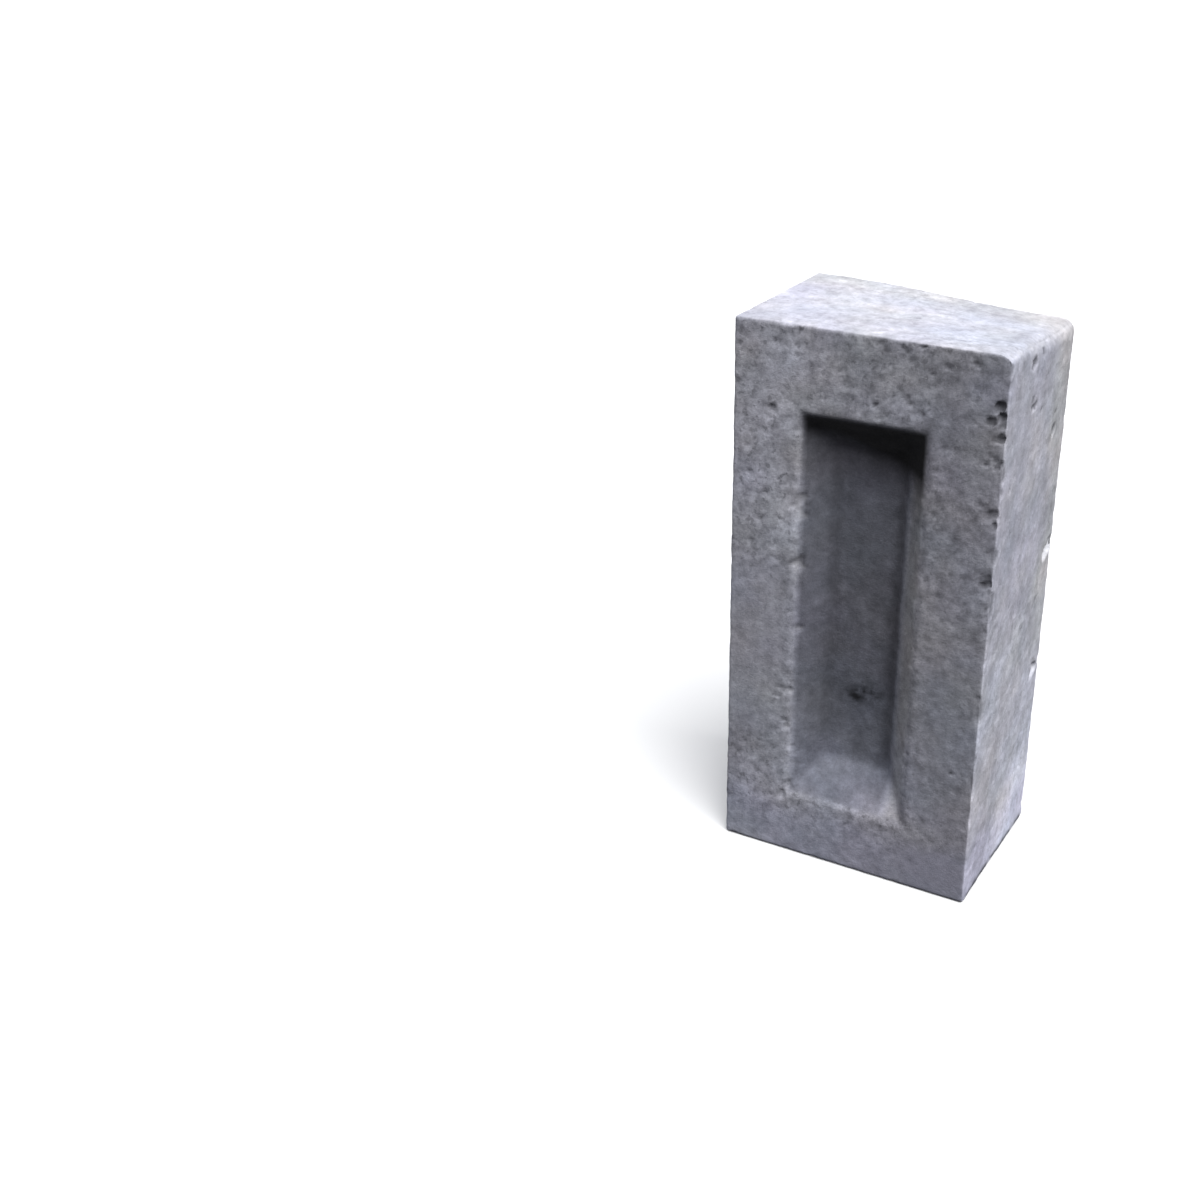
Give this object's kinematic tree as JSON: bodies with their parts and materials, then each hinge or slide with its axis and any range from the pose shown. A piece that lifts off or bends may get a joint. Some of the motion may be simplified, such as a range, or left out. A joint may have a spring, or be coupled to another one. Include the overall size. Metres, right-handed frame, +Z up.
{
  "type": "clay ash brick",
  "caption": "Grey pressed clay ash brick with a tapered rectangular frog in one bed face, standing on one end.",
  "frame": {"origin": "middle of the end face that the brick stands on, at floor level", "axes": "+Z up along the brick's length, +X across its width, -Y out of the bed face that holds the frog"},
  "size_m": [0.108, 0.076, 0.23],
  "materials": {
    "fired_ash": "matte"
  },
  "bodies": {
    "root": {"brick": "fired_ash"}
  },
  "joints": []
}
